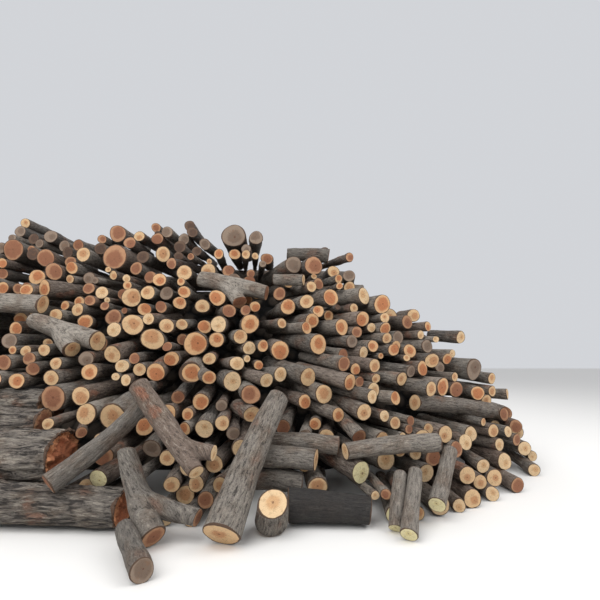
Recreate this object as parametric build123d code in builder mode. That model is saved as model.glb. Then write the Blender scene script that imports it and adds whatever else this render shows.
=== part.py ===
from build123d import *
from itertools import combinations, product
import math
import os
import numpy as np

# A heap of felled logs: a sloping face of log ends, a crest where logs run right through,
# long plain logs along the back and both flanks, and one hidden core in place of the logs
# inside. X runs along the heap, Y from its face to its back, Z up. Millimetres and degrees.

# The heap as a whole
FACE_LEAN = 0.9          # how far the face runs back for each unit of height
CORNER = 300             # where, along the heap, its foot starts to turn back on the right
CORNER_REACH = 4170      # the foot turns back by the square of the way past the corner over this

# The logs
SIDES = 9                # flats round a trunk
OVAL = 0.03              # how far a section may be from round, as a share of its radius
TAPER = 30               # how much a trunk thins over a metre
THINNEST = 0.6           # a tip is at least this share of the butt
UNDER_BARK = 0.96        # a trunk against the width its sawn end seems to have
LOG_LENGTH = 1350        # usual length of a log in the face
SHORT_LOG = 950          # a short one
LENGTH_SPREAD = 120
USUAL_TILT = 1.5         # how far their backs lie higher than their ends, in degrees
STAGGER = 70             # how far ends stand proud of the face or back from it
SAW_SLANT = 7            # how far a sawn end may be off square

# Neighbours lie nearly side by side, so a log's heading is drawn in to what is usual there
USUAL_HEADINGS = ((-2500, -1000, 0, 3000), (0, 5, 25, 35))
COMBED = 0.45
TURNED = 25              # logs turned more than this are short ones

# How logs come to rest
SEAT = 0.3               # what is left between a log and what carries it
REACH_UP = 260           # how far above its place a log is let down from
LOW_START = 80           # the same where something is in the way further up
STANDING = 60            # a leaning log whose foot is lower than this stands on the ground
ASIDE = (0, 30, -30, 60, -60, 90, -90)  # how far it may move over to lie better
TIPS = (0, -3, 3)        # how far it may tip to lie better
SHORTER = (1, 0.72, 0.5) # a log that can't lie near its place is tried shorter
NEAR_ENOUGH = 30
HOLE = 75                # a log that would drop further than this gets a packing log under it
PACKING = (90, 200)      # thinnest and thickest packing log
PACKED_FROM = 250        # no packing lower than this
TURNS = 12               # steps in which a log is let down
OVERLAP = 0.05           # two pieces nearer than the seat by more than this have no room
ROUGH_STEP = 2           # a first answer is done when a step gets smaller than this
FINE_STEP = 0.01

# The core that stands in for the hidden logs
CORE_LEFT, CORE_RIGHT = -6000, 2500
CORE_FRONT, CORE_BACK = 1900, 4950
CORE_TOP = 2500
CORE_BACK_SLOPE = 0.28   # how far the back leans in for each unit of height
CORE_FLANK_SLOPE = 0.75  # the same for both flanks
CORE_TURN = 0.55         # how fast its front turns back past the corner

# The crest
CREST_BACK = 4390        # where the logs that run right through end, at the core's top
CREST_BACK_SLOPE = 0.12
STRAIGHT = 20            # logs turned less than this may run right through

# Long logs laid along the back and the flanks, in courses
STOCK_LENGTH = 2400
STOCK_THICKNESS = 300
COURSES = 9
COURSE_RISE = 0.9        # from course to course, as a share of the thickness
BESIDE_BACK = 180        # how far the middles of the back logs lie behind the core
BESIDE_FLANK = 186       # the same beside the flanks
BACK_STARTS = 110        # where a course of back logs starts, from the core's flank
BACK_ENDS = 260          # how far past the core's other flank it ends
END_GAP = 25             # between logs laid end to end
LEFT_FRONT = 450         # how far behind the face the flank logs start
RIGHT_FRONT = 1000
FLANK_BACK = 170         # how far before the back logs they end

# Smaller logs that fill the holes between the ends
FILL_STEP = 110
FILL_FROM, FILL_TO = 80, 3300
FILL_LEFT, FILL_RIGHT = -4900, 2950
FILL_SIZES = (190, 160, 135)
FILL_BACK = (40, 200)
FILL_HEADINGS = (0, 25)
FILL_SPREAD = 6
FILL_TILT = 4
FILL_LENGTHS = (SHORT_LOG, 0.6 * SHORT_LOG)
FILL_DROP = 140
FILL_INSET = 30          # how far into its neighbours' edges a filling log may seem to reach
FILL_ROOM = 68           # how wide a hole is left as it is
CREST_ROOM = 105         # and in the crest, where logs run right through behind it
CREST_LINE = ((-5000, -3800, -1500, 450, 1500, 2950), (3300, 3300, 3300, 3050, 2150, 750))
BUTTS_LEFT, BUTTS_LEAN, BUTTS_TOP = -2700, 0.55, 2100  # nothing to fill behind the big butts

# Log ends in the face belong to a course and a place along the heap, a node of its own
COURSE_TOPS = (450, 800, 1150, 1500, 1850, 2200, 2600)
PLACES = {-2200: "left", -700: "middle_left", 600: "middle_right"}

UP = np.array([0.0, 0.0, 1.0])
DOWN = -UP
INTO = np.array([0.0, 1.0, 0.0])
rng = np.random.default_rng(11)


def unit(vectors):
    return vectors / np.maximum(np.linalg.norm(vectors, axis=-1, keepdims=True), 1e-9)


def foot(across):
    past = max(across - CORNER, 0)
    return past * past / CORNER_REACH


def face(across, up):
    return foot(across) + FACE_LEAN * up


# A log is one or more chains of sections, each a ring of corners in its own plane. Every
# corner stays on its own long edge of the trunk, so that the sides of a straight log are flat.
def section(centre, along, lead, radius, thinning, plane, roll, oval):
    side = unit(lead - lead @ along * along)
    over = np.cross(side, along)
    angle = np.arange(SIDES) * 2 * math.pi / SIDES + roll
    reach = 1 + oval * np.cos(2 * angle)
    ring = reach[:, None] * (np.cos(angle)[:, None] * side + np.sin(angle)[:, None] * over)
    lean = ring @ plane
    ahead = -radius * lean / (along @ plane + thinning * lean)
    return centre + ring * (radius + thinning * ahead)[:, None] + ahead[:, None] * along


def draw():
    """What differs from log to log: how it is turned, how oval it is, how its ends are cut."""
    return rng.uniform(0, 2 * math.pi), rng.uniform(0, OVAL), rng.uniform(-1, 1, (2, 3))


def chain(points, radii, own):
    roll, oval, slants = own
    points = np.array(points, float)
    steps = np.diff(points, axis=0)
    ways = unit(steps)
    thinnings = np.diff(radii) / np.linalg.norm(steps, axis=1)
    slant = math.tan(math.radians(SAW_SLANT))
    lead = unit(np.cross(ways[0], UP))
    rings = []
    for place, (point, radius) in enumerate(zip(points, radii)):
        behind, before = max(place - 1, 0), min(place, len(ways) - 1)
        along = unit(ways[behind] + ways[before])
        plane = along
        if behind == before:
            plane = unit(along + slant * slants[0 if place == 0 else 1])
        rings.append(section(point, along, lead, radius, thinnings[before], plane, roll, oval))
    return rings


def trunk(end, heading, tilt, length, thickness, own):
    """A straight log from its sawn end in the face, whose heading turns that end to the right."""
    turn, rise = math.radians(heading), math.radians(tilt)
    back = np.array([-math.sin(turn) * math.cos(rise), math.cos(turn) * math.cos(rise), math.sin(rise)])
    end = np.array(end, float)
    butt = UNDER_BARK * thickness / 2
    tip = max(butt - TAPER / 2 * length / 1000, THINNEST * butt)
    return chain([end, end + back * length], [butt, tip], own)


# What lies between two sections is convex, and so is the core. How far one such piece may
# go before it meets another is found exactly, along the normals of both and the cross
# products of their edges; the long edges alone give a quick answer that is never too far.
class Piece:
    def __init__(self, corners, normals, edges, long_edges):
        self.corners = corners
        self.normals = normals
        self.edges = edges
        self.long_edges = long_edges

    def moved(self, by):
        return Piece(self.corners + by, self.normals, self.edges, self.long_edges)


def stretch(near, far):
    long_edges = unit(far - near)
    rim = unit(np.roll(near, -1, axis=0) - near)
    far_rim = unit(np.roll(far, -1, axis=0) - far)
    ends = unit(np.array([np.cross(rim[0], rim[3]), np.cross(far_rim[0], far_rim[3])]))
    normals = np.vstack([unit(np.cross(long_edges, rim)), ends])
    return Piece(np.vstack([near, far]), normals, np.vstack([long_edges, rim, far_rim]), long_edges)


class Log:
    def __init__(self, node, chains, pieces=None):
        self.node = node
        self.chains = chains
        self.pieces = pieces or [stretch(*pair) for rings in chains for pair in zip(rings, rings[1:])]
        self.corners = np.vstack([piece.corners for piece in self.pieces])

    def end(self):
        return self.chains[0][0].mean(axis=0)

    def moved(self, by):
        chains = [[ring + by for ring in rings] for rings in self.chains]
        return Log(self.node, chains, [piece.moved(by) for piece in self.pieces])


# The core's faces are normals with the furthest reach along each.
def core_face(normal, through):
    normal = unit(np.array(normal, float))
    return normal, float(normal @ np.array(through, float))


core_faces = [
    core_face((0, -1, FACE_LEAN), (0, CORE_FRONT, 0)),
    core_face((CORE_TURN, -1, FACE_LEAN), (CORNER, CORE_FRONT, 0)),
    core_face((0, 1, CORE_BACK_SLOPE), (0, CORE_BACK, 0)),
    core_face((-1, 0, CORE_FLANK_SLOPE), (CORE_LEFT, 0, 0)),
    core_face((1, 0, CORE_FLANK_SLOPE), (CORE_RIGHT, 0, 0)),
    core_face((0, 0, 1), (0, 0, CORE_TOP)),
]


def core_piece():
    faces = core_faces + [(DOWN, 0.0)]
    normals = np.array([normal for normal, reach in faces])
    reaches = np.array([reach for normal, reach in faces])
    corners = []
    for trio in combinations(range(len(faces)), 3):
        rows = list(trio)
        if abs(np.linalg.det(normals[rows])) > 1e-6:
            corner = np.linalg.solve(normals[rows], reaches[rows])
            if (normals @ corner < reaches + 1e-3).all():
                corners.append(corner)
    edges = unit(np.array([np.cross(one, other) for one, other in combinations(normals, 2)]))
    return Piece(np.array(corners), normals, edges, edges)


def crosses(ours, theirs):
    across = np.cross(ours[None, :, None, :], theirs[:, None, :, :])
    return unit(across.reshape(len(theirs), -1, 3))


def free_way(piece, direction, near, fine):
    """How far a piece may go along direction before it meets one of those near it."""
    normals = np.array([other.normals for other in near])
    own = np.broadcast_to(piece.normals, (len(near),) + piece.normals.shape)
    if fine:
        across = crosses(piece.edges, np.array([other.edges for other in near]))
    else:
        across = crosses(piece.long_edges, np.array([other.long_edges for other in near]))
    axes = np.concatenate([own, normals, across], axis=1)
    ours = axes @ piece.corners.T
    theirs = np.matmul(axes, np.array([other.corners for other in near]).transpose(0, 2, 1))
    ahead = theirs.min(axis=2) - ours.max(axis=2)
    behind = ours.min(axis=2) - theirs.max(axis=2)
    closing = axes @ direction
    gap = np.where(ahead > behind, ahead, behind) - SEAT
    closing = np.where(ahead > behind, closing, -closing)
    way = np.where(closing > 1e-6, gap / np.maximum(closing, 1e-6), np.inf)
    return float(np.where(gap > -1e-2, way, -np.inf).max(axis=1).min())


class Heap:
    """The logs laid so far, with the boxes of their pieces to find those near a place."""

    def __init__(self):
        self.logs = []
        self.pieces = []
        self.low = np.empty((0, 3))
        self.high = np.empty((0, 3))
        self.core = core_piece()
        self.ends = np.empty((0, 3))
        self.reach = np.empty(0)

    def add(self, log):
        self.logs.append(log)
        self.pieces.extend(log.pieces)
        self.low = np.vstack([self.low, [piece.corners.min(axis=0) for piece in log.pieces]])
        self.high = np.vstack([self.high, [piece.corners.max(axis=0) for piece in log.pieces]])
        for rings in log.chains:
            end = rings[0].mean(axis=0)
            self.ends = np.vstack([self.ends, end])
            self.reach = np.append(self.reach, np.linalg.norm(rings[0][0] - end))

    def room(self, across, up):
        """How far the nearest log end is from a place in the face."""
        return (np.hypot(self.ends[:, 0] - across, self.ends[:, 2] - up) - self.reach).min()

    def near(self, piece, ahead):
        low = piece.corners.min(axis=0) + np.minimum(ahead, 0) - SEAT
        high = piece.corners.max(axis=0) + np.maximum(ahead, 0) + SEAT
        places = np.flatnonzero((self.low < high).all(axis=1) & (self.high > low).all(axis=1))
        return [self.pieces[place] for place in places]

    def let_down(self, log, direction, furthest, fine=True):
        """The log moved along direction until it rests on the ground, the core or another."""
        moved = 0.0
        for turn in range(TURNS):
            step = furthest - moved
            if direction[2] < 0:
                step = min(step, log.corners[:, 2].min())
            for piece in log.pieces:
                step = min(step, free_way(piece, direction, [self.core], fine))
                if step < -OVERLAP:
                    return None
                near = self.near(piece, direction * max(step, 1))
                if near:
                    step = min(step, free_way(piece, direction, near, fine))
            if step < -OVERLAP:
                return None
            moved += max(step, 0)
            log = log.moved(direction * max(step, 0))
            if step < (FINE_STEP if fine else ROUGH_STEP):
                break
        return log, moved


heap = Heap()


def settled(node, across, back, up, shape):
    """A straight log let down at a place, and how far above that place it comes to lie."""
    for start in (REACH_UP, LOW_START):
        log = Log(node, [trunk((across, back, up + start), *shape)])
        found = heap.let_down(log, DOWN, 3 * REACH_UP, fine=False)
        if found:
            return found[0], start - found[1]
    return None


def lay(node, across, up, thickness, heading=0, tilt=USUAL_TILT, length=LOG_LENGTH, packing=2):
    """Lets a log down as near as it can lie to its place in the face."""
    stagger = rng.uniform(-STAGGER, STAGGER)
    length = length + rng.uniform(-LENGTH_SPREAD, LENGTH_SPREAD)
    back = face(across, up) + stagger
    own = draw()
    best, best_cost, best_off = None, np.inf, 0
    for shorter in SHORTER:
        for tip in TIPS:
            for aside in ASIDE:
                shape = (heading, tilt + tip, length * shorter, thickness, own)
                found = settled(node, across + aside, back, up, shape)
                if not found:
                    continue
                log, off = found
                cost = abs(off) + 0.5 * abs(aside) + 3 * abs(tip) + 60 * (1 - shorter)
                if cost < best_cost:
                    best, best_cost, best_off = log, cost, off
            if best_cost < NEAR_ENOUGH:
                break
        if best_cost < 2 * NEAR_ENOUGH:
            break
    if best is None:
        return
    if best_off < -HOLE and packing and up > PACKED_FROM:
        filler = min(max(-best_off, PACKING[0]), PACKING[1])
        below = up - thickness / 2 - filler / 2
        if below > filler / 2:
            lay(node, across, below, filler, heading / 2, USUAL_TILT, SHORT_LOG, packing - 1)
            lay(node, across, up, thickness, heading, tilt, length, packing - 1)
            return
    heap.add(heap.let_down(best, DOWN, 3 * REACH_UP)[0])


def rest(node, stem, limbs=(), way=DOWN):
    """Brings a log with a line of its own along a way until it lies against the heap."""
    log = Log(node, [chain(*line, draw()) for line in [stem, *limbs]])
    low = log.corners[:, 2].min()
    if low < STANDING:
        log = log.moved(-low * UP)
    for further in (1, 2, 3):
        back = REACH_UP * further
        found = heap.let_down(log.moved(-way * back), way, 6 * back, fine=False)
        if found:
            heap.add(heap.let_down(found[0], way, REACH_UP)[0])
            return


# The heap is laid from the ground up, so every log is planned with the height of its foot
work = []


def plan(height, task, *details):
    work.append((height, len(work), task, details))


# The logs whose ends show in the face, course by course from the foot: across, up,
# thickness and heading, and the tip of the end towards the foot where it is marked.
FACE_LOGS = [
    (-1790, 310, 180, -35, 8), (-1520, 260, 130, -15), (564, 370, 235, 40, 8),
    (660, 215, 100, -20), (750, 190, 90, 0), (2300, 450, 150, 25),
    (-2460, 680, 130, 0), (-2235, 695, 120, 50), (-1956, 642, 135, 0), (-1450, 600, 200, 0, 12),
    (-620, 680, 140, 0), (582, 660, 170, 20, 20), (856, 620, 220, 20), (1045, 630, 90, 10),
    (1270, 580, 200, 10), (1485, 620, 200, 15), (1650, 490, 180, 10), (1860, 520, 200, 15),
    (2140, 650, 100, 20), (2250, 600, 170, 30), (1118, 750, 100, 20),
    (-2170, 840, 230, 0), (-1885, 840, 300, -5, 10), (-980, 790, 200, 0, 10), (-768, 750, 160, 0),
    (-548, 845, 190, 45), (420, 830, 165, 35), (558, 810, 190, 10), (744, 853, 150, 45),
    (838, 790, 130, 20), (976, 790, 140, 10), (1030, 970, 170, 45), (1125, 760, 110, 20),
    (1440, 830, 190, 45), (2870, 880, 160, 65), (255, 965, 225, 25), (560, 960, 200, 55, 8),
    (-2640, 1025, 310, -10), (-2350, 1007, 225, -25), (-1310, 1030, 160, 0, 10),
    (-687, 1176, 230, 35), (-515, 1010, 220, 10), (-355, 1100, 175, 45), (179, 1135, 220, 40, 8),
    (476, 1108, 180, 30), (583, 1087, 125, 20), (800, 1094, 185, 35), (940, 1170, 120, 20),
    (1243, 1030, 175, 45), (1680, 1135, 235, 45), (2600, 1070, 160, 30), (1900, 1200, 120, 30),
    (-2770, 1362, 150, 0), (-2360, 1262, 200, 15), (-2030, 1224, 100, 0), (-2030, 1394, 170, 0),
    (-1915, 1400, 140, 0), (-1630, 1280, 225, 5, 10), (-714, 1367, 180, 40), (-476, 1355, 120, 10),
    (-187, 1240, 175, 45), (502, 1398, 150, 20), (555, 1217, 145, 20), (844, 1270, 180, 45),
    (1280, 1230, 155, 45), (1480, 1360, 205, 40), (2300, 1240, 330, 50),
    (-2190, 1463, 220, 0, 8), (-1790, 1637, 290, 15), (-1555, 1555, 125, 0), (-1230, 1550, 300, 10),
    (-1010, 1610, 200, 5), (-746, 1620, 190, 30), (-606, 1555, 175, 25), (-439, 1546, 150, 10),
    (-205, 1490, 245, 0), (82, 1635, 165, 35), (213, 1484, 255, 20), (625, 1600, 170, 15),
    (760, 1480, 160, 35), (880, 1530, 155, 20), (968, 1460, 80, 10), (1070, 1630, 155, 20),
    (1127, 1520, 165, 20), (1285, 1600, 150, 20), (1650, 1560, 200, 35), (1740, 1620, 100, 20),
    (2040, 1460, 120, 30), (2150, 1600, 190, 40), (-3390, 1650, 200, 0),
    (-2585, 1885, 190, 45), (-2430, 1970, 220, 10), (-2370, 1757, 200, 0), (-2147, 1820, 290, 0),
    (-1920, 1852, 165, -25), (-1565, 1815, 200, 0), (-1205, 1825, 190, 5), (-1005, 1810, 220, 0),
    (-910, 2000, 190, 35), (-700, 2020, 145, 10), (-656, 1830, 260, 10), (-228, 1837, 140, 30),
    (90, 1840, 210, 25), (266, 1985, 165, 15), (522, 1775, 220, 40), (825, 1880, 220, 35),
    (1000, 1797, 140, 20), (1146, 1780, 180, 20), (1590, 1725, 125, 20), (1760, 1820, 150, 50),
    (-3820, 2310, 170, 0), (-3580, 2040, 180, 0), (-3580, 2165, 200, 0), (-3460, 2160, 240, -45),
    (-2655, 2210, 90, 0), (-2270, 2210, 280, 5), (-2050, 2300, 205, 0), (-1820, 2075, 170, 5),
    (-1570, 2090, 185, 25), (-1290, 2075, 200, 5), (-1105, 2200, 240, 5), (-620, 2180, 185, 10),
    (-500, 2050, 155, 5), (-187, 2075, 220, 5), (90, 2090, 210, 10), (380, 2200, 250, 30),
    (490, 2050, 80, 0), (830, 2220, 250, 50), (1100, 2100, 280, 15), (1400, 2000, 200, 20),
    (-3740, 2580, 235, 25), (-3470, 2605, 270, 10), (-2900, 2345, 170, 30), (-2860, 2530, 120, -30),
    (-2680, 2600, 140, -30), (-2440, 2500, 120, 0), (-1970, 2500, 205, 5), (-1660, 2620, 240, 5),
    (-1580, 2350, 185, 5), (-1410, 2620, 235, 5), (157, 2390, 160, 10), (320, 2450, 170, 10),
    (544, 2520, 135, 15),
    (-3850, 2890, 280, 0), (-3260, 2706, 200, 0), (-3220, 2915, 235, 0), (-2750, 2870, 400, 0),
    (-2330, 2680, 200, 0), (-2330, 2865, 200, 0), (-2070, 2945, 245, 15), (-1860, 2745, 180, -30),
    (-1830, 2980, 140, 0), (-1600, 2810, 110, 0), (-1580, 2970, 160, 0), (-1320, 2760, 85, 0),
    (-1220, 2970, 160, 5), (-985, 2905, 180, 5), (-787, 2760, 140, 5), (-700, 2885, 115, 0),
    (-610, 2760, 110, 0), (-95, 2810, 280, 40, -8), (200, 2750, 300, 5), (750, 2850, 150, 0),
    (-4070, 3170, 150, 0), (-3930, 3300, 220, 0), (-3100, 3250, 150, 0), (-2970, 3100, 100, 0),
    (-2850, 3400, 300, 0), (-2580, 3360, 190, 0), (-2390, 3570, 170, 0), (-2280, 3280, 200, 0),
    (-2100, 3400, 200, 0), (-1870, 3540, 190, 0), (-1860, 3310, 200, 0), (-1650, 3330, 180, 0),
    (-1060, 3350, 400, 0), (-600, 3290, 235, 0), (-4500, 3575, 170, 0), (-4400, 3050, 350, 0),
]

for across, up, thickness, turned, *own_tilt in FACE_LOGS:
    length = LOG_LENGTH if abs(turned) < TURNED else SHORT_LOG
    if up - thickness / 2 > CORE_TOP and abs(turned) < STRAIGHT:
        length = CREST_BACK - face(across, up) - CREST_BACK_SLOPE * (up - CORE_TOP)
    usual = np.interp(across, *USUAL_HEADINGS)
    heading = usual + COMBED * (turned - usual)
    tilt = own_tilt[0] if own_tilt else USUAL_TILT
    plan(up - thickness / 2, lay, "face", across, up, thickness, heading, tilt, length)


# Long plain logs that lie across the front, from their left ends to their right ones, with
# the thickness there: each sags or bows a little in the middle.
BOW = 20


def across_log(node, left, right, thickness, end_thickness):
    middle = [(a + b) / 2 for a, b in zip(left, right)]
    middle[2] += BOW
    radii = [end_thickness / 2, (thickness + end_thickness) / 4, thickness / 2]
    plan(min(left[2], right[2]) - thickness / 2, rest, node, ([left, middle, right], radii))


across_log("ground_log_left", (-4100, 260, 200), (-1490, 90, 175), 350, 400)
across_log("big_rough_butt", (-4950, 560, 430), (-2240, 470, 430), 520, 440)
across_log("rough_log_low", (-4900, 900, 880), (-2650, 830, 850), 350, 360)
across_log("rough_log_high", (-5100, 1300, 1320), (-2800, 1230, 1300), 480, 420)
across_log("pale_cross_log", (-5000, 1850, 1990), (-3300, 1770, 1950), 250, 260)
across_log("logs_behind_left", (-5150, 950, 250), (-3000, 900, 250), 420, 400)
across_log("logs_behind_left", (-5100, 1400, 800), (-3100, 1400, 800), 380, 360)
plan(1500, rest, "pale_forked_log",
     ([(-3360, 1700, 1840), (-2900, 1580, 1700), (-2400, 1400, 1575)], [110, 130, 125]),
     [([(-2980, 1560, 1690), (-2670, 1330, 1468)], [95, 110])])
across_log("cross_logs_middle", (-420, 420, 380), (20, 380, 350), 200, 220)
across_log("charred_log", (-100, 190, 170), (600, 130, 150), 230, 300)
across_log("cross_logs_middle", (-480, 420, 530), (148, 360, 510), 200, 210)
across_log("cross_logs_middle", (-330, 620, 740), (368, 540, 710), 190, 180)
across_log("long_cross_log", (420, 400, 440), (1338, 560, 490), 180, 160)
across_log("right_cross_log", (1284, 1180, 1030), (2500, 2000, 830), 200, 190)

# Logs that lean on the front, laid last: each is the points of its middle line with its
# radii there, and a fork has a limb that starts inside the stem.
LEANING = 5000
plan(LEANING, rest, "forked_log_foot",
     ([(-1560, 480, 620), (-1420, 330, 430), (-1240, 80, 220), (-1110, -60, 110)], [85, 95, 105, 105]),
     [([(-1330, 200, 320), (-1000, 60, 250), (-800, 20, 215)], [80, 80, 70])], INTO)
plan(LEANING, rest, "leaning_grey_log",
     ([(-2092, 120, 392), (-1800, 420, 640), (-1620, 620, 850), (-1462, 760, 1090)], [95, 90, 88, 80]),
     [], INTO)
plan(LEANING, rest, "leaning_red_log",
     ([(-1554, 943, 1159), (-1200, 640, 850), (-832, 325, 528)], [95, 105, 68]),
     [([(-1000, 480, 680), (-715, 400, 647)], [75, 62])], INTO)
plan(LEANING, rest, "long_leaning_log",
     ([(-600, -250, 120), (-454, 160, 530), (-340, 430, 800), (-215, 700, 1040)], [155, 135, 120, 105]),
     [], INTO)
plan(LEANING, rest, "stump", ([(-215, -120, 240), (-240, 60, 40)], [125, 145]), [], INTO)
plan(LEANING, rest, "thin_leaning_logs", ([(909, 400, 430), (787, 60, 90)], [60, 65]), [], INTO)
plan(LEANING, rest, "thin_leaning_logs", ([(1061, 500, 430), (854, -50, 90)], [60, 72]), [], INTO)
plan(LEANING, rest, "thin_leaning_logs", ([(1492, 760, 510), (1191, 260, 160)], [70, 80]), [], INTO)
plan(LEANING, rest, "thin_ground_log", ([(-1330, 350, 170), (-1020, -120, 90)], [75, 85]), [], INTO)

# Forked and crooked logs in the face
plan(1000, rest, "forked_log_middle",
     ([(-1205, 1040, 1158), (-1250, 1500, 1230), (-1300, 2100, 1250)], [125, 120, 100]),
     [([(-1235, 1300, 1190), (-985, 980, 1110)], [75, 78])])
plan(2080, rest, "pale_forked_log_crest",
     ([(-1400, 2300, 2560), (-1000, 2180, 2480), (-450, 2080, 2330)], [115, 120, 105]),
     [([(-1000, 2180, 2460), (-790, 1920, 2190)], [100, 98])])
plan(2340, rest, "knobby_log", ([(-370, 2250, 2440), (50, 2150, 2420)], [75, 80]))
plan(3000, rest, "broken_log_crest",
     ([(-200, 2900, 3200), (150, 2850, 3180), (444, 2820, 3150)], [95, 115, 120]))


# Courses of long logs along the back and the flanks
def stock(node, start, end, radii):
    plan(start[2] - 1, rest, node, ([start, end], radii))


for course in range(COURSES):
    up = STOCK_THICKNESS * (0.5 + COURSE_RISE * course)
    back = CORE_BACK - CORE_BACK_SLOPE * up + BESIDE_BACK
    left, right = CORE_LEFT + CORE_FLANK_SLOPE * up, CORE_RIGHT - CORE_FLANK_SLOPE * up
    beside = left - BESIDE_FLANK
    front = FACE_LEAN * up + LEFT_FRONT
    halfway = (front + back) / 2
    stock("left_flank_logs", (beside, front, up), (beside, halfway - 10, up), [150, 140])
    stock("left_flank_logs", (beside, halfway + 10, up), (beside, back - FLANK_BACK, up), [145, 135])
    beside = right + BESIDE_FLANK
    front = face(beside, up) + RIGHT_FRONT
    stock("right_flank_logs", (beside, front, up), (beside, back - FLANK_BACK, up), [145, 135])
    count = max(round((right + BACK_ENDS - left - BACK_STARTS) / STOCK_LENGTH), 1)
    span = (right + BACK_ENDS - left - BACK_STARTS) / count
    for place in range(count):
        start = left + BACK_STARTS + span * place
        butt, tip = STOCK_THICKNESS / 2 - rng.uniform(0, 20), STOCK_THICKNESS / 2 - rng.uniform(5, 30)
        stock("back_logs", (start, back, up), (start + span - END_GAP, back, up), [butt, tip])

for height, order, task, details in sorted(work, key=lambda row: row[:2]):
    task(*details)


def hidden(across, up):
    """Whether a place in the face is above its crest or behind the big butts on the left."""
    return up > np.interp(across, *CREST_LINE) or (across < BUTTS_LEFT - BUTTS_LEAN * up and up < BUTTS_TOP)


def filling_log(across, up, room):
    """A small log that comes to rest in a hole of the face, or nothing."""
    for thickness, back, heading in product(FILL_SIZES, FILL_BACK, FILL_HEADINGS):
        if room < thickness / 2 - FILL_INSET or (across < 0 and heading):
            continue
        for length in FILL_LENGTHS:
            turned = heading + rng.uniform(-FILL_SPREAD, FILL_SPREAD)
            tilt = rng.uniform(0, FILL_TILT)
            end = (across, face(across, up) + back, up)
            log = Log("face", [trunk(end, turned, tilt, length, thickness, draw())])
            if log.corners[:, 2].min() < 0:
                continue
            found = heap.let_down(log, DOWN, FILL_DROP, fine=False)
            if found:
                found = heap.let_down(found[0], DOWN, FILL_DROP)
            if found and found[1] < FILL_DROP:
                return found[0]
    return None


rows = np.arange(FILL_FROM, FILL_TO, FILL_STEP)
for up, across in product(rows, np.arange(FILL_LEFT, FILL_RIGHT, FILL_STEP)):
    if hidden(across, up):
        continue
    room = heap.room(across, up)
    if room < (FILL_ROOM if up < CORE_TOP else CREST_ROOM):
        continue
    log = filling_log(across, up, room)
    if log:
        heap.add(log)


def node_of(log):
    if log.node != "face":
        return log.node
    across, up = log.end()[0], log.end()[2]
    course = 1 + sum(up > top for top in COURSE_TOPS)
    place = next((name for limit, name in PLACES.items() if across < limit), "right")
    return f"course_{course}_{place}"


nodes = {}
for log in heap.logs:
    nodes.setdefault(node_of(log), []).append(log)

# The part's origin is on the ground under the middle of the heap
corners = np.vstack([log.corners for log in heap.logs])
middle = (corners.min(axis=0) + corners.max(axis=0)) / 2
middle[2] = 0


def solid_of(rings):
    outlines = [Wire.make_polygon([tuple(corner - middle) for corner in ring], close=True) for ring in rings]
    return Solid.make_loft(outlines, ruled=True)


os.makedirs("parts", exist_ok=True)

for name, logs in nodes.items():
    with BuildPart() as part_of_face:
        stems = [solid_of(log.chains[0]) for log in logs]
        limbs = [solid_of(rings) for log in logs for rings in log.chains[1:]]
        add([stems[0].fuse(*limbs)] if limbs else stems)
    part_of_face.part.label = name
    export_step(part_of_face.part, f"parts/{name}.step")

with BuildPart() as core:
    with Locations(((CORE_LEFT + CORE_RIGHT) / 2 - middle[0], -middle[1], 0)):
        Box(CORE_RIGHT - CORE_LEFT, CORE_BACK, CORE_TOP, align=(Align.CENTER, Align.MIN, Align.MIN))
    for normal, reach in core_faces:
        through = tuple(normal * reach - middle)
        split(bisect_by=Plane(origin=through, z_dir=tuple(normal)), keep=Keep.BOTTOM)
core.part.label = "core"
export_step(core.part, "parts/core.step")
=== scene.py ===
import math
import random

import bpy
import numpy as np
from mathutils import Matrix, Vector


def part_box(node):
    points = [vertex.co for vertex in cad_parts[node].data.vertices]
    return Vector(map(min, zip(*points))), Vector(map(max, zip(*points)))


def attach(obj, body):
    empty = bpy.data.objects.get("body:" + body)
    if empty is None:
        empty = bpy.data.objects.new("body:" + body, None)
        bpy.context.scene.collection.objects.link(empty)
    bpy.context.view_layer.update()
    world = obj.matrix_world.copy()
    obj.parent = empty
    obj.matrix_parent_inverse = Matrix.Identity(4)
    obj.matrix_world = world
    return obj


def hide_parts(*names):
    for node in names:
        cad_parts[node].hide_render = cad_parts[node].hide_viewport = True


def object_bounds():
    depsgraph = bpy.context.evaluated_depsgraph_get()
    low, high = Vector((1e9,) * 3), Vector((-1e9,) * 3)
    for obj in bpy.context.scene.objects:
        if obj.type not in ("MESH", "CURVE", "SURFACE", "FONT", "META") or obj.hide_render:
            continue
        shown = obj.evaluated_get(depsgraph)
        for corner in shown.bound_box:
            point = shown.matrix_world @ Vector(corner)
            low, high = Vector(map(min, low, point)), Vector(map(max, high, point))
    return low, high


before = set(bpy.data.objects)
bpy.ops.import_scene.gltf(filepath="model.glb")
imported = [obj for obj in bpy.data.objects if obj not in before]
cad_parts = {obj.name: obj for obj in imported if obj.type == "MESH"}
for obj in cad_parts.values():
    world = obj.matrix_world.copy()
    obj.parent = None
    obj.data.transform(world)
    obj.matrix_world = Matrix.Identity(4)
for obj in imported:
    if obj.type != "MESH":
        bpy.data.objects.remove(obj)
cad_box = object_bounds()

# The yard: a pale floor under soft light, seen by someone standing in front of the heap.
# The plain core is the heap's fixed block, so the view is set out from its low corner.
FACE_DEPTH = 1.9          # the foot of the face lies this far in front of the core
VIEW_FROM_LEFT = 6.0      # the middle of the view, from the core's left side
EYE_HEIGHT = 1.5
STAND_BACK = 3.8          # from the foot of the face
LOOK_UP = 6.54            # degrees
FOCAL_LENGTH = 26.16
SENSOR_WIDTH = 36
FARTHEST_SEEN = 200
FLOOR_SIZE = 60
FLOOR_COLOURS = (226, 224, 220), (234, 232, 229)
SKY_COLOUR = 0.86, 0.88, 0.92, 1
SKY_STRENGTH = 0.75

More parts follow.
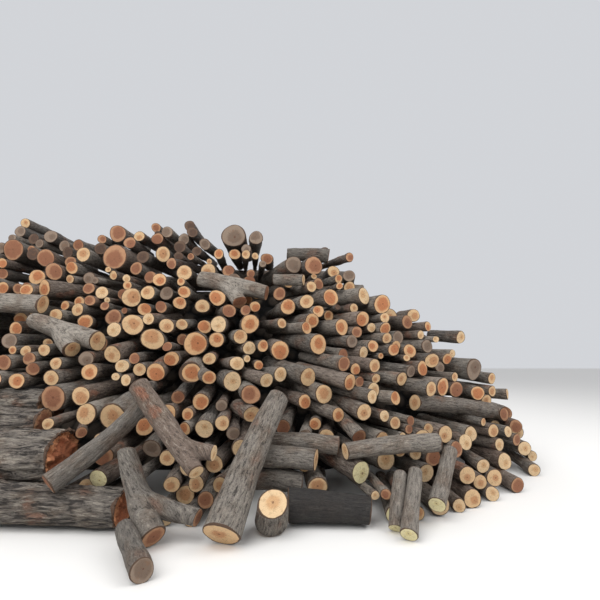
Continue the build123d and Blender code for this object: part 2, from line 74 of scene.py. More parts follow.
# Each lamp's place, its turn in degrees, its width and its power
LAMPS = {
    "key": ((-3, -7, 9), (42, 0, -18), 9, 900),
    "side": ((8, -3, 7), (40, 0, 65), 7, 350),
    "back": ((0, 9, 8), (-45, 0, 0), 9, 450),
}

core_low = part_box("core")[0]
foot_line = core_low[1] - FACE_DEPTH
view_across = core_low[0] + VIEW_FROM_LEFT


class Shade:
    """A socket in a node tree, so that shader maths is written as an expression."""

    def __init__(self, tree, socket=None):
        self.tree = tree
        self.socket = socket

    def node(self, kind, settings=(), **values):
        """A new node. Its inputs are named, with _ for a blank, or numbered i0, i1 and so on."""
        made = self.tree.nodes.new(kind)
        for name, value in dict(settings).items():
            setattr(made, name, value)
        for name, value in values.items():
            numbered = name[0] == "i" and name[1:].isdigit()
            key = int(name[1:]) if numbered else name.replace("_", " ")
            if isinstance(value, Shade):
                self.tree.links.new(value.socket, made.inputs[key])
            else:
                made.inputs[key].default_value = value
        return made

    def out(self, made, name=0):
        return Shade(self.tree, made.outputs[name])

    def noise(self, detail, roughness=0.5, scale=1.0, distortion=0.0, **values):
        made = self.node("ShaderNodeTexNoise", Detail=detail, Roughness=roughness, Scale=scale,
                         Distortion=distortion, **values)
        return self.out(made)

    def stored(self, attribute, *names):
        """What the mesh's attribute holds: its Color, its Alpha or both."""
        made = self.node("ShaderNodeAttribute", {"attribute_name": attribute})
        return [self.out(made, name) for name in names]

    def scaled(self, *shares):
        """A place, with each of its axes scaled."""
        made = self.node("ShaderNodeVectorMath", {"operation": "MULTIPLY"}, i0=self, i1=shares)
        return self.out(made)

    def maths(self, operation, *values):
        made = self.node("ShaderNodeMath", {"operation": operation},
                         **{f"i{count}": value for count, value in enumerate(values)})
        return self.out(made)

    def __add__(self, other):
        return self.maths("ADD", self, other)

    __radd__ = __add__

    def __sub__(self, other):
        return self.maths("SUBTRACT", self, other)

    def __rsub__(self, other):
        return self.maths("SUBTRACT", other, self)

    def __mul__(self, other):
        return self.maths("MULTIPLY", self, other)

    __rmul__ = __mul__

    def __pow__(self, other):
        return self.maths("POWER", self, other)

    def between(self, low, high):
        """0 below low, 1 above high, smooth between."""
        made = self.node("ShaderNodeMapRange", {"interpolation_type": "SMOOTHSTEP"},
                         Value=self, From_Min=low, From_Max=high)
        return self.out(made)

    def mixed(self, colour, other):
        """colour where this is 0 and other where it is 1."""
        made = self.node("ShaderNodeMix", {"data_type": "RGBA"}, i0=self, i6=colour, i7=other)
        return self.out(made, 2)


def linear(red, green, blue):
    """A colour as seen, 0 to 255, as the shader wants it."""
    parts = [part / 255 for part in (red, green, blue)]
    parts = [part / 12.92 if part <= 0.04045 else ((part + 0.055) / 1.055) ** 2.4 for part in parts]
    return (*parts, 1)


def finish(name, roughness):
    """A new material with its tree to build in and its shader."""
    made = bpy.data.materials.new(name)
    made.use_nodes = True
    shader = made.node_tree.nodes["Principled BSDF"]
    shader.inputs["Roughness"].default_value = roughness
    return made, Shade(made.node_tree), shader


def feed(shader, **values):
    """Link each value to the input of that name."""
    for name, value in values.items():
        value.tree.links.new(value.socket, shader.inputs[name.replace("_", " ")])


bpy.ops.mesh.primitive_plane_add(size=FLOOR_SIZE, location=(0, 0, 0))
floor = bpy.context.object
floor.name = "floor"
floor_finish, tool, shader = finish("pale_floor", 0.9)
uneven = tool.noise(2.0, scale=0.4)
feed(shader, Base_Color=uneven.mixed(*(linear(*colour) for colour in FLOOR_COLOURS)))
floor.data.materials.append(floor_finish)

bpy.ops.object.camera_add(location=(view_across, foot_line - STAND_BACK, EYE_HEIGHT),
                          rotation=(math.radians(90 + LOOK_UP), 0, 0))
camera = bpy.context.object
camera.data.lens = FOCAL_LENGTH
camera.data.sensor_width = SENSOR_WIDTH
camera.data.clip_end = FARTHEST_SEEN
bpy.context.scene.camera = camera

for place, turn, width, power in LAMPS.values():
    bpy.ops.object.light_add(type="AREA", location=place,
                             rotation=[math.radians(angle) for angle in turn])
    lamp = bpy.context.object
    lamp.data.size = width
    lamp.data.energy = power
bpy.ops.object.select_all(action="DESELECT")

world = bpy.data.worlds.new("sky")
bpy.context.scene.world = world
world.use_nodes = True
sky = world.node_tree.nodes["Background"]
sky.inputs["Color"].default_value = SKY_COLOUR
sky.inputs["Strength"].default_value = SKY_STRENGTH
bpy.context.scene.view_settings.view_transform = "Standard"


# The logs hidden inside the heap: one plain block stands for them. It shows only behind the
# gaps that the outer logs leave, so its faces read as logs that lie front to back. Their colours
# are painted shade: bark darkened as deep in the gaps, and near black painted shadow in the seams.
HIDDEN_LOGS = 5.2, 0.75, 5.2              # to a metre: across, front to back and up
# painted shade: the hidden logs' colours are darker than the outer bark
SHADED_HIDDEN_COLOURS = (58, 50, 43), (112, 100, 88)
SEAM_SHADOW_COLOUR = 14, 12, 10
SEAM_FROM, SEAM_TO = 0.28, 0.62           # where a log ends and the seam is darkest
HIDDEN_RELIEF = 0.09

core_finish, tool, shader = finish("shaded_inside", 1.0)
front_to_back = tool.out(tool.node("ShaderNodeTexCoord"), "Object").scaled(*HIDDEN_LOGS)
from_middle = tool.out(tool.node("ShaderNodeTexVoronoi", Vector=front_to_back, Scale=1.0,
                                 Randomness=0.75))
grain = tool.noise(4.0, 0.65, scale=5.0, Vector=front_to_back)
shaded_log_side = grain.mixed(*(linear(*colour) for colour in SHADED_HIDDEN_COLOURS))
# painted shadow in the seams between the hidden logs
seam_shadow = from_middle.between(SEAM_FROM, SEAM_TO)
roundness = 1 - from_middle * from_middle + grain * 0.1
bump = tool.node("ShaderNodeBump", Strength=1.0, Distance=HIDDEN_RELIEF, Height=roundness)
feed(shader, Base_Color=seam_shadow.mixed(shaded_log_side, linear(*SEAM_SHADOW_COLOUR)), Normal=tool.out(bump))
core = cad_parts["core"]
core.data.materials.clear()
core.data.materials.append(core_finish)


# The logs along the back and the flanks: trunks sawn to length and stacked level, which
# hold the heap in. Their bark is grey-brown, ridged along the trunk, with pale lichen and
# patches of red inner bark, and the weather has turned most of their sawn ends grey.
SAME_CORNER = 2e-5        # corners of the solid's triangles within this are one
FLAT = 1.5                # degrees within which faces of a solid are one flat
CORNERS_OF_END = 9        # a face square to its log with at least so many corners is a sawn end
SQUARE_ON = 0.5           # how nearly square it has to be, as a cosine
LYING_ACROSS = 0.3        # a log that points less than this to the front lies across the heap
SECTION_GAP = 0.06        # sections of a bent log lie at least this far apart,
SECTION_CORNERS = 8       # have at least so many corners
SECTION_DEPTH = 0.3       # and are no deeper than this along the log
FRONT_DEPTH = 0.12        # corners within this of a log's foremost one are its front end
STEP_ALONG = 0.30         # rings along a trunk, before it is rounded
RINGED_FROM = 0.9         # a side that is shorter than this share of a step gets no ring
ROUNDING = 1.055          # rounding draws a nine-sided log in by about this share
LEAST_OVAL, OVAL = 0.01, 0.10       # how far a log is out of round, as a share of its radius
THREE_SIDED = 0.7         # how much of that it may be out of round in three places
BARK_RIM = 0.009          # width of the bark round a sawn end
RIM_CREASE = 0.9
LUMP = 0.022              # height of the lumps of a trunk
LUMP_SIZE = 0.22
LUMP_LEVEL = 0.5          # where the texture has this value the surface stays in place
SHARP_EDGE = 45           # degrees
MAP_SPREAD = 50           # each log's bark starts somewhere within this of the pattern
FISSURE_SCALE = 0.25      # how far the fissures are drawn out
HEART_SPREAD = 0.12       # how much the heartwood varies in size
ROUGH_BARK = 0.2, 0.8     # the least and the most rough
DARKEST = 0.2             # how dark a log's bark may be, where 1 is charred
ON_BARK, ON_CUT = 0, 1    # the two materials of a log

# The heartwood, the sapwood and how far out the heartwood reaches
CUTS = {
    "lemon": ((218, 204, 150), (228, 218, 170), 0.3),
    "pale": ((206, 164, 118), (222, 192, 150), 0.4),
    "tan": ((192, 142, 100), (216, 182, 138), 0.5),
    "orange": ((184, 118, 76), (214, 172, 126), 0.62),
    "brown": ((142, 94, 68), (178, 134, 100), 0.72),
    "red": ((178, 108, 74), (208, 142, 100), 0.7),
    "grey": ((116, 100, 86), (142, 126, 110), 0.6),
    "dark": ((78, 62, 52), (100, 82, 68), 0.7),
}
CUT_MARKS = {
    "ring": (120, 74, 44),
    "stain": (132, 92, 62),
    "crack": (62, 38, 26),
    "pith": (92, 54, 34),
    "rim": (80, 60, 46),
}
BARK_COLOURS = {
    "dull": (98, 92, 86),
    "sunned": (156, 147, 136),
    "reddish": (126, 100, 84),
    "worn": (108, 90, 74),
    "inner_bark": (152, 98, 72),
    "lichen": (178, 176, 164),
    # a painted highlight on the tops of the bark's ridges
    "ridge_highlight": (200, 190, 174),
    "scale_edge": (62, 54, 48),
    # painted shade deep in the bark's fissures
    "fissure_shade": (40, 35, 32),
    "charred": (38, 36, 36),
}
BARK_RELIEF = 0.05
SAWN_RELIEF = 0.004

# How often each cut is met on logs that lay in the weather
WEATHERED_CUTS = {"grey": 4, "brown": 4, "tan": 2}


def layered(colour, layers, colours):
    """A colour with others laid over it, each as far as its layer says."""
    for name, share in layers.items():
        colour = share.mixed(colour, linear(*colours[name]))
    return colour


def bark_finish():
    """Bark from each log's map, round and along the trunk, and its own four draws."""
    made, tool, shader = finish("bark", 0.92)
    place = tool.out(tool.node("ShaderNodeUVMap", {"uv_map": "trunk"}))
    log, dark = tool.stored("log", "Color", "Alpha")
    draws = tool.node("ShaderNodeSeparateColor", Color=log)
    pale, red, rough = (tool.out(draws, name) for name in ("Red", "Green", "Blue"))

    def stretched(each_round, each_along, detail, roughness, distortion=0.0):
        return tool.noise(detail, roughness, distortion=distortion,
                          Vector=place.scaled(each_round, each_along, 1))

    ridges = stretched(54, 11, 6.0, 0.68, 0.5)
    scales = stretched(130, 60, 4.0, 0.7)
    patches = stretched(5, 3, 3.0, 0.5)
    lichen = stretched(18, 7, 6.0, 0.75)
    islands = stretched(19, 4, 5.0, 0.7, 0.9)
    fissured = rough.between(0.82, 0.9)
    fine = ridges + scales * 0.4 - 0.2
    coarse = islands * 1.3 + ridges * 0.7 - 0.5
    relief = fissured * coarse + (1 - fissured) * fine
    deep = 1 - relief.between(0.36, 0.5)
    highlit_tops = relief.between(0.52, 0.68)
    layers = {
        "reddish": red.between(0.45, 1.0) * 0.55,
        "worn": patches.between(0.45, 0.6) * 0.55,
        "inner_bark": patches.between(0.58, 0.68) * red * 0.8,
        "lichen": lichen.between(0.54, 0.68) * (1 - red) * 0.35,
        # painted highlight where the bark's relief is highest
        "ridge_highlight": highlit_tops * (0.3 + 0.2 * rough),
        "scale_edge": (1 - scales.between(0.36, 0.46)) * 0.35,
        # painted shade where the bark's relief is lowest, in the fissures
        "fissure_shade": deep * (0.5 + 0.42 * rough),
        "charred": dark * 0.85,
    }
    ground = pale.mixed(linear(*BARK_COLOURS["dull"]), linear(*BARK_COLOURS["sunned"]))
    bump = tool.node("ShaderNodeBump", Strength=1.0, Distance=BARK_RELIEF,
                     Height=relief * (0.35 + 0.75 * rough))
    feed(shader, Base_Color=layered(ground, layers, BARK_COLOURS), Normal=tool.out(bump))
    return made


def sawn_finish():
    """A sawn end: rings round a pith off the centre, heartwood, sapwood, drying cracks and
    the brown line of the bark, on a map that runs from the middle to the rim."""
    made, tool, shader = finish("sawn_end", 0.85)
    place = tool.out(tool.node("ShaderNodeUVMap", {"uv_map": "trunk"}))
    (log,) = tool.stored("log", "Color")
    draws = tool.node("ShaderNodeSeparateColor", Color=log)
    chance, other = (tool.out(draws, name) for name in ("Red", "Green"))
    heart_colour, heart_size = tool.stored("heart", "Color", "Alpha")
    (sap_colour,) = tool.stored("sap", "Color")
    split = tool.node("ShaderNodeSeparateXYZ", Vector=place)
    across, up = (tool.out(split, name) for name in ("X", "Y"))
    seed = chance * 40
    spot = tool.out(tool.node("ShaderNodeCombineXYZ", X=across, Y=up, Z=seed))
    wobble = tool.noise(2.0, scale=1.6, Vector=spot)
    uneven = tool.noise(4.0, 0.6, 3.4, Vector=spot)
    blotch = tool.noise(4.0, 0.65, 3.2, Vector=spot)
    reach = tool.out(tool.node("ShaderNodeVectorMath", {"operation": "LENGTH"}, i0=place), "Value")
    pith_across = across + (chance - 0.5) * 0.4
    pith_up = up + (other - 0.5) * 0.4
    off = (pith_across * pith_across + pith_up * pith_up) ** 0.5 + (wobble - 0.5) * 0.3
    heart = 1 - (off + (uneven - 0.5) * 0.35 - heart_size).between(-0.16, 0.08)
    rings = tool.maths("SINE", off * 95 + wobble * 6) * 0.5 + 0.5
    turned = tool.maths("ARCTAN2", up, across)
    ray = tool.out(tool.node("ShaderNodeCombineXYZ", X=turned * 2.2, Y=reach * 0.5, Z=seed))
    rays = tool.noise(2.0, scale=2.6, Vector=ray)
    open_ray = 1 - tool.maths("ABSOLUTE", rays - 0.5).between(0.0, 0.014)
    crack = open_ray * (1 - reach.between(0.35, 0.85))
    layers = {
        "ring": rings * 0.22,
        "stain": blotch.between(0.5, 0.72) * 0.4,
        "crack": crack * 0.8,
        "pith": (1 - off.between(0.02, 0.09)) * 0.7,
        "rim": (reach + (uneven - 0.5) * 0.12).between(0.835, 0.865),
    }
    marks = tool.out(tool.node("ShaderNodeTexWave", {"wave_type": "BANDS"}, Vector=spot, Scale=7.0,
                               Distortion=3.0, Detail=2.0))
    bump = tool.node("ShaderNodeBump", Strength=0.5, Distance=SAWN_RELIEF,
                     Height=marks * 0.25 + rings * 0.3 - crack * 1.5)
    wood = heart.mixed(sap_colour, heart_colour)
    feed(shader, Base_Color=layered(wood, layers, CUT_MARKS), Normal=tool.out(bump))
    return made


def cloud(name, size, depth):
    """A cloudy texture for Displace, with features of about that size."""
    made = bpy.data.textures.new(name, "CLOUDS")
    made.noise_scale = size
    made.noise_depth = depth
    return made


bark = bark_finish()
sawn = sawn_finish()
lumps = {"texture": cloud("lumps", LUMP_SIZE, 2), "strength": LUMP, "mid_level": LUMP_LEVEL}


def logs_in(mesh):
    """The logs of a mesh, each as the numbers of its faces."""
    leader = list(range(len(mesh.vertices)))

    def first(vertex):
        while leader[vertex] != vertex:
            leader[vertex] = leader[leader[vertex]]
            vertex = leader[vertex]
        return vertex

    for edge in mesh.edges:
        leader[first(edge.vertices[0])] = first(edge.vertices[1])
    found = {}
    for face in mesh.polygons:
        found.setdefault(first(face.vertices[0]), []).append(face.index)
    return list(found.values())


class Trunk:
    """One log's line, and places along it and round it."""

    def __init__(self, points):
        self.middle = points.mean(axis=0)
        along = np.linalg.svd(points - self.middle, full_matrices=False)[2][0]
        backwards = along[1] < 0 if abs(along[1]) > LYING_ACROSS else along[0] > 0
        self.along = -along if backwards else along
        side = np.cross(self.along, (0, 0, 1))
        self.side = side / np.linalg.norm(side)
        self.over = np.cross(self.side, self.along)
        self.follow(points)
        reach = self.reach(points)
        self.front = points[reach < reach.min() + FRONT_DEPTH].mean(axis=0)
        self.radius = np.median(np.linalg.norm(points - self.centre(points), axis=1))

    def follow(self, points):
        """The line runs through the middle of each section, or straight if none are found."""
        reach = self.reach(points)
        order = np.argsort(reach)
        breaks = np.nonzero(np.diff(reach[order]) > SECTION_GAP)[0] + 1
        sections = [section for section in np.split(order, breaks) if len(section) >= SECTION_CORNERS]
        if len(sections) < 2 or max(np.ptp(reach[section]) for section in sections) > SECTION_DEPTH:
            self.places = [reach.min(), reach.max()]
            self.centres = np.array([self.middle + self.along * place for place in self.places])
        else:
            self.places = [reach[section].mean() for section in sections]
            self.centres = np.array([points[section].mean(axis=0) for section in sections])

    def reach(self, points):
        return (points - self.middle) @ self.along

    def centre(self, points):
        reach = self.reach(points)
        return np.stack([np.interp(reach, self.places, line) for line in self.centres.T], axis=-1)

    def turned(self, points):
        away = points - self.centre(points)
        return np.arctan2(away @ self.side, away @ self.over)

    def swollen(self, points, rng):
        """The points let out to an uneven round, by the share that rounding draws them in."""
        centre = self.centre(points)
        turned = self.turned(points)
        oval = rng.uniform(LEAST_OVAL, OVAL) * np.cos(2 * (turned - rng.uniform(0, math.pi)))
        bulges = rng.uniform(0, OVAL * THREE_SIDED) * np.cos(3 * (turned - rng.uniform(0, math.pi)))
        return centre + (points - centre) * (ROUNDING + oval + bulges)[:, None]


def read(group, name, kind, wide=1):
    """One property of all the vertices, edges, faces or corners, as an array."""
    values = np.empty(len(group) * wide, kind)
    group.foreach_get(name, values)
    return values.reshape(-1, wide) if wide > 1 else values


def edit(obj, kind=None, picked=None):
    """Edit mode, with all of it selected or just the picked faces or edges."""
    mesh = obj.data
    bpy.context.view_layer.objects.active = obj
    if picked is not None:
        for group in (mesh.vertices, mesh.edges, mesh.polygons):
            group.foreach_set("select", np.zeros(len(group), bool))
        chosen = mesh.polygons if kind == "FACE" else mesh.edges
        chosen.foreach_set("select", picked)
        bpy.context.tool_settings.mesh_select_mode = (False, kind == "EDGE", kind == "FACE")
    bpy.ops.object.mode_set(mode="EDIT")
    if picked is None:
        bpy.ops.mesh.select_all(action="SELECT")


def map_logs(mesh, rng, choose):
    """Map and colour every log of a mesh, let it out to its round and mark its sawn ends."""
    corners = read(mesh.vertices, "co", np.float32, 3).astype(float)
    rounded = corners.copy()
    places = np.zeros((len(mesh.loops), 2))
    colours = {name: np.ones((len(mesh.loops), 4)) for name in ("log", "heart", "sap")}
    sides = np.full(len(mesh.polygons), ON_BARK)
    cuts = np.zeros(len(mesh.polygons), int)
    for faces in logs_in(mesh):
        vertices = sorted({vertex for face in faces for vertex in mesh.polygons[face].vertices})
        trunk = Trunk(corners[vertices])
        rounded[vertices] = trunk.swollen(corners[vertices], rng)
        cut, draws = choose(rng, trunk.front)
        heart, sap, heart_size = CUTS[cut]
        heart = (*linear(*heart)[:3], heart_size + rng.uniform(-HEART_SPREAD, HEART_SPREAD))
        offset = np.array((rng.uniform(0, MAP_SPREAD), rng.uniform(0, MAP_SPREAD)))
        rings = max(round(np.diff(trunk.places).mean() / STEP_ALONG), 1) - 1
        for number in faces:
            face = mesh.polygons[number]
            points = corners[list(face.vertices)]
            loops = list(face.loop_indices)
            square = abs(np.dot(face.normal, trunk.along)) > SQUARE_ON
            if square and len(points) >= CORNERS_OF_END:
                away = points - points.mean(axis=0)
                size = np.linalg.norm(away, axis=1).mean()
                places[loops] = np.stack([away @ trunk.side, away @ trunk.over], axis=-1) / size
                sides[number] = ON_CUT
            else:
                facing = trunk.turned(points.mean(axis=0)[None])[0]
                turned = (trunk.turned(points) - facing + math.pi) % (2 * math.pi) - math.pi + facing
                places[loops] = np.stack([turned * trunk.radius, trunk.reach(points)], axis=-1) + offset
            cuts[number] = rings
            for name, value in (("log", draws), ("heart", heart), ("sap", linear(*sap))):
                colours[name][loops] = value
    for name, share in (("trunk", 1), ("fissures", FISSURE_SCALE)):
        layer = mesh.uv_layers.new(name=name)
        layer.data.foreach_set("uv", (places * (1, share)).astype(np.float32).ravel())
    for name, values in colours.items():
        attribute = mesh.attributes.new(name, "FLOAT_COLOR", "CORNER")
        attribute.data.foreach_set("color", values.astype(np.float32).ravel())
    mesh.attributes.new("cuts", "INT", "FACE").data.foreach_set("value", cuts)
    mesh.polygons.foreach_set("material_index", sides)
    mesh.vertices.foreach_set("co", rounded.astype(np.float32).ravel())
    mesh.update()


def ring(logs):
    """Cut rings along the trunks, as many on each as it was marked for."""
    mesh = logs.data
    for wanted in np.unique(read(mesh.attributes["cuts"].data, "value", np.int32)):
        if wanted == 0:
            continue
        cuts = read(mesh.attributes["cuts"].data, "value", np.int32)
        places = read(mesh.uv_layers["trunk"].data, "uv", np.float32, 2)
        edges = read(mesh.loops, "edge_index", np.int32)
        starts = read(mesh.polygons, "loop_start", np.int32)
        totals = read(mesh.polygons, "loop_total", np.int32)
        sides = read(mesh.polygons, "material_index", np.int32)
        face = np.repeat(np.arange(len(starts)), totals)
        after = np.arange(len(edges)) + 1
        after[starts + totals - 1] = starts
        step = np.abs(places[after] - places)
        long = (step[:, 1] > STEP_ALONG * RINGED_FROM) & (step[:, 1] > step[:, 0])
        picked = np.zeros(len(mesh.edges), bool)
        picked[edges[long & (sides[face] == ON_BARK) & (cuts[face] == wanted)]] = True
        edit(logs, "EDGE", picked)
        bpy.ops.mesh.subdivide(number_cuts=int(wanted))
        bpy.ops.object.mode_set(mode="OBJECT")


def mark_ends(logs):
    """Crease the rims of the sawn ends, and group the corners that lie inside them."""
    mesh = logs.data
    totals = read(mesh.polygons, "loop_total", np.int32)
    sides = np.repeat(read(mesh.polygons, "material_index", np.int32), totals)
    edges = read(mesh.loops, "edge_index", np.int32)
    corners = read(mesh.loops, "vertex_index", np.int32)
    crease = np.zeros(len(mesh.edges), np.float32)
    crease[np.intersect1d(edges[sides == ON_BARK], edges[sides == ON_CUT])] = RIM_CREASE
    mesh.attributes.new("crease_edge", "FLOAT", "EDGE").data.foreach_set("value", crease)
    inside = np.setdiff1d(corners[sides == ON_CUT], corners[sides == ON_BARK])
    logs.vertex_groups.new(name="inside").add(inside.tolist(), 1.0, "REPLACE")


def shape(logs, levels, reliefs):
    """Round the trunks and raise each relief on them. What would then stick out of the
    solids' own box is drawn in to it."""
    rounding = {"levels": levels, "render_levels": levels}
    for kind, settings in [("SUBSURF", rounding)] + [("DISPLACE", relief) for relief in reliefs]:
        modifier = logs.modifiers.new(kind.lower(), kind)
        for setting, value in settings.items():
            setattr(modifier, setting, value)
        bpy.ops.object.modifier_apply(modifier=modifier.name)
    mesh = logs.data
    shaped = np.clip(read(mesh.vertices, "co", np.float32, 3), *cad_box)
    mesh.vertices.foreach_set("co", shaped.astype(np.float32).ravel())
    mesh.update()
    bpy.ops.object.shade_smooth_by_angle(angle=math.radians(SHARP_EDGE))


def dress(node, choose, levels=2, reliefs=()):
    """Make a node's logs as they look; choose gives the cut and the bark of each."""
    logs = bpy.data.objects.new(node + "_logs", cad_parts[node].data.copy())
    bpy.context.collection.objects.link(logs)
    logs.select_set(True)
    mesh = logs.data
    mesh.materials.clear()
    mesh.materials.append(bark)
    mesh.materials.append(sawn)
    edit(logs)
    bpy.ops.mesh.remove_doubles(threshold=SAME_CORNER)
    bpy.ops.mesh.dissolve_limited(angle_limit=math.radians(FLAT))
    bpy.ops.object.mode_set(mode="OBJECT")
    map_logs(mesh, random.Random(node), choose)
    edit(logs, "FACE", read(mesh.polygons, "material_index", np.int32) == ON_CUT)
    bpy.ops.mesh.inset(thickness=BARK_RIM, use_individual=True)
    bpy.ops.object.mode_set(mode="OBJECT")
    ring(logs)
    mark_ends(logs)
    shape(logs, levels, (lumps, *reliefs))
    logs.select_set(False)
    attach(logs, "root")
    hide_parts(node)


def drawn(rng, shares):
    """One of the names, each as often as its share says."""
    return rng.choices(list(shares), shares.values())[0]


def any_bark(rng, darkest=DARKEST):
    """How pale, red, rough and dark a log's bark is."""
    return rng.random(), rng.random(), rng.uniform(*ROUGH_BARK), rng.uniform(0, darkest)


def weathered(rng, end):
    """A cut that the weather has turned, and the bark."""
    return drawn(rng, WEATHERED_CUTS), any_bark(rng)


for node in ("back_logs", "left_flank_logs", "right_flank_logs", "logs_behind_left"):
    dress(node, weathered)


# The thick butts across the left of the front: old trunks that lie on their sides, with
# deep-fissured bark and reddish wood. One was not sawn through, and its end is torn.
PLATE = 0.07              # height of the plates between the fissures
PLATE_SIZE = 0.12
PLATE_LEVEL = 0.62
SPLINTER = 0.16           # height of the splinters of the torn end
SPLINTER_SIZE = 0.09
SPLINTER_LEVEL = 0.55
plates = {"texture": cloud("plates", PLATE_SIZE, 3), "strength": PLATE, "mid_level": PLATE_LEVEL,
          "texture_coords": "UV", "uv_layer": "fissures"}
splinters = {"texture": cloud("splinters", SPLINTER_SIZE, 3), "strength": SPLINTER,
             "mid_level": SPLINTER_LEVEL, "vertex_group": "inside"}

# For each: the cut, how pale, red, rough and dark its bark is, the levels of rounding and
# the reliefs
BUTTS = {
    "ground_log_left": ("red", (0.35, 0.55, 0.9, 0.1), 4, (plates,)),
    "big_rough_butt": ("red", (0.45, 0.55, 1.0, 0.0), 4, (plates, splinters)),
    "rough_log_low": ("brown", (0.3, 0.6, 1.0, 0.15), 3, (plates,)),
    "rough_log_high": ("brown", (0.4, 0.5, 1.0, 0.1), 3, (plates,)),
}


def known(cut, draws):
    """The same cut and bark for every log of a node."""
    return lambda rng, end: (cut, draws)


for node, (cut, draws, levels, reliefs) in BUTTS.items():
    dress(node, known(cut, draws), levels, reliefs)


# The courses of the face: sawn logs laid head out, one on another, with fresh cuts of pale
# sapwood round orange heartwood, browner where the cut is old. Some ends that lie in shadow
# are given a brown or dark cut, which is painted shade. Each known cut is given by its place
# across the view and its height.
COURSES = 8
STRETCHES = "left", "middle_left", "middle_right", "right"
NEAR_CUT = 0.13           # a log within this of a known cut has that cut
FACE_CUTS = {
    "lemon": ((-1.79, .31), (.564, .37), (.83, .12), (.886, .12)),
    "pale": ((.66, .215), (1.045, .63), (1.86, .52), (.838, .79), (2.87, .88), (.56, .96), (-.98, .79),
             (-.687, 1.176), (-.355, 1.1), (.476, 1.108), (.8, 1.094), (-2.03, 1.224), (-.714, 1.367),
             (-.187, 1.24), (-.606, 1.555), (.76, 1.48), (1.74, 1.62), (2.04, 1.46), (2.15, 1.6),
             (-2.37, 1.757), (-1.92, 1.852), (-1.005, 1.81), (1.0, 1.797), (1.59, 1.725), (-3.58, 2.04),
             (-3.46, 2.16), (-2.655, 2.21), (.83, 2.22), (-2.44, 2.5)),
    "tan": ((-1.52, .26), (-2.46, .68), (-1.956, .642), (1.27, .58), (1.485, .62), (2.14, .65),
            (2.25, .6), (-2.17, .84), (-1.885, .84), (-.768, .75), (-.548, .845), (.558, .81),
            (.744, .853), (.976, .79), (1.44, .83), (.255, .965), (-2.35, 1.007), (.179, 1.135),
            (1.243, 1.03), (2.6, 1.07), (-2.77, 1.362), (.844, 1.27), (-2.19, 1.463), (-1.79, 1.637),
            (-.746, 1.62), (1.07, 1.63), (-2.147, 1.82), (-1.565, 1.815), (-.228, 1.837), (-2.27, 2.21),
            (-2.05, 2.3), (-1.29, 2.075), (.09, 2.09), (-2.68, 2.6), (-1.66, 2.62), (-1.41, 2.62),
            (.157, 2.39), (-3.22, 2.915), (-2.07, 2.945), (-1.32, 2.76), (-.7, 2.885), (-4.5, 3.575),
            (-2.58, 3.36)),
    "orange": ((.856, .62), (.42, .83), (1.03, .97), (-1.205, 1.158), (1.68, 1.135), (-2.36, 1.262),
               (-1.63, 1.28), (-.476, 1.355), (.555, 1.217), (1.48, 1.36), (-1.23, 1.55), (-1.01, 1.61),
               (-.439, 1.546), (-.205, 1.49), (.082, 1.635), (.213, 1.484), (.88, 1.53), (1.127, 1.52),
               (-2.585, 1.885), (-1.205, 1.825), (-.656, 1.83), (.09, 1.84), (.266, 1.985),
               (.522, 1.775), (.825, 1.88), (1.146, 1.78), (1.76, 1.82), (-3.58, 2.165), (-1.57, 2.09),
               (-1.105, 2.2), (-.62, 2.18), (-.187, 2.075), (.38, 2.2), (1.1, 2.1), (-3.74, 2.58),
               (-1.97, 2.5), (-1.58, 2.35), (.544, 2.52), (-3.26, 2.706), (-1.22, 2.97), (-.985, 2.905)),
    # some of these brown cuts are painted shade, on ends that lie in shadow
    "brown": ((.75, .19), (-2.235, .695), (.582, .66), (1.65, .49), (1.118, .75), (-2.64, 1.025),
              (-1.31, 1.03), (-.515, 1.01), (.583, 1.087), (-1.915, 1.4), (.502, 1.398), (-1.555, 1.555),
              (-2.43, 1.97), (-.91, 2.0), (-.7, 2.02), (-3.82, 2.31), (-1.82, 2.075), (-3.47, 2.605),
              (-2.9, 2.345), (.32, 2.45), (-3.85, 2.89), (-2.75, 2.87), (-2.33, 2.68), (-1.86, 2.745),
              (-1.6, 2.81), (.2, 2.75), (.75, 2.85), (-4.4, 3.05)),
    "grey": ((-1.45, .6), (-.62, .68), (1.28, 1.23), (2.3, 1.24), (-3.39, 1.65), (.625, 1.6),
             (1.285, 1.6), (1.65, 1.56), (1.4, 2.0), (-2.86, 2.53), (-.787, 2.76), (-.61, 2.76),
             (-.095, 2.81), (-3.93, 3.3), (-1.06, 3.35), (-.6, 3.29)),
    # some of these dark cuts are painted shade, on ends that lie in shadow
    "dark": ((.94, 1.17), (.49, 2.05), (-1.83, 2.98), (-1.58, 2.97)),
}

# How often each cut is met on the other logs: on the crest, at the foot and between
CREST_FROM = 2.8
FOOT_TO = 0.6
# the dark cut on the crest is partly painted shade, for ends that lie back in shadow
CREST_CUTS = {"grey": 4, "dark": 3, "brown": 3}
FOOT_CUTS = {"pale": 4, "tan": 4, "brown": 2}
MIDDLE_CUTS = {"orange": 6, "tan": 7, "brown": 5, "grey": 2}

# The bark near the crest is darker
DARK_FROM = 2.5
CREST_DARKEST = 0.65


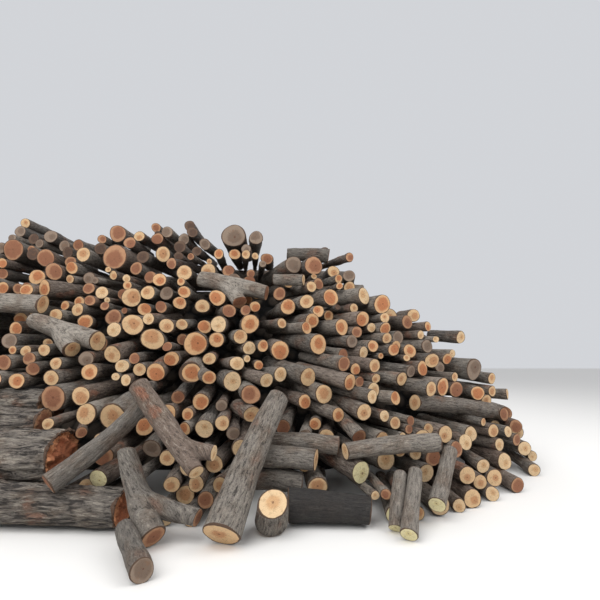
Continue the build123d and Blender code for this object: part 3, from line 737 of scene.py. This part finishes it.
def head_out(rng, end):
    """The cut known nearby, or one drawn from what is usual at that height, and the bark."""
    height = end[2]
    at = end[0] - view_across, height
    near, cut = min((math.dist(place, at), name)
                    for name, places in FACE_CUTS.items() for place in places)
    if near > NEAR_CUT:
        if height > CREST_FROM:
            cut = drawn(rng, CREST_CUTS)
        elif height < FOOT_TO:
            cut = drawn(rng, FOOT_CUTS)
        else:
            cut = drawn(rng, MIDDLE_CUTS)
    return cut, any_bark(rng, CREST_DARKEST if height > DARK_FROM else DARKEST)


for course in range(1, COURSES + 1):
    for stretch in STRETCHES:
        dress(f"course_{course}_{stretch}", head_out)


# The odd logs in and on the face: forks, a knobby trunk and logs that rolled crosswise,
# most with the pale bark of trunks that lay in the sun. The broken one ends the crest.

# For each: the cut, and how pale, red, rough and dark its bark is
ODD_LOGS = {
    "pale_cross_log": ("tan", (0.9, 0.1, 0.4, 0.0)),
    "pale_forked_log": ("tan", (0.95, 0.1, 0.45, 0.0)),
    "pale_forked_log_crest": ("brown", (1.0, 0.15, 0.5, 0.0)),
    "forked_log_middle": ("orange", (0.6, 0.4, 0.6, 0.0)),
    "knobby_log": ("pale", (0.8, 0.3, 0.7, 0.0)),
    "broken_log_crest": ("brown", (0.4, 0.5, 0.75, 0.2)),
    "long_cross_log": ("pale", (0.6, 0.1, 0.3, 0.0)),
    "cross_logs_middle": ("tan", (0.4, 0.3, 0.4, 0.05)),
    "right_cross_log": ("tan", (0.5, 0.6, 0.5, 0.1)),
}
for node, (cut, draws) in ODD_LOGS.items():
    dress(node, known(cut, draws))


# The foot of the face: logs that slid down and came to lean or lie in front of the heap,
# a short stump stood on end and a charred trunk, each with its own bark.

# For each: the cut, and how pale, red, rough and dark its bark is
FOOT_LOGS = {
    "leaning_grey_log": ("brown", (0.3, 0.1, 0.1, 0.2)),
    "leaning_red_log": ("pale", (0.4, 1.0, 0.45, 0.05)),
    "forked_log_foot": ("brown", (0.45, 0.35, 0.5, 0.1)),
    "long_leaning_log": ("tan", (0.7, 0.4, 0.75, 0.0)),
    "charred_log": ("dark", (0.2, 0.1, 0.7, 1.0)),
    "stump": ("pale", (0.5, 0.4, 0.6, 0.05)),
    "thin_ground_log": ("grey", (0.3, 0.2, 0.3, 0.25)),
    "thin_leaning_logs": ("lemon", (0.6, 0.1, 0.2, 0.1)),
}
for node, (cut, draws) in FOOT_LOGS.items():
    dress(node, known(cut, draws))
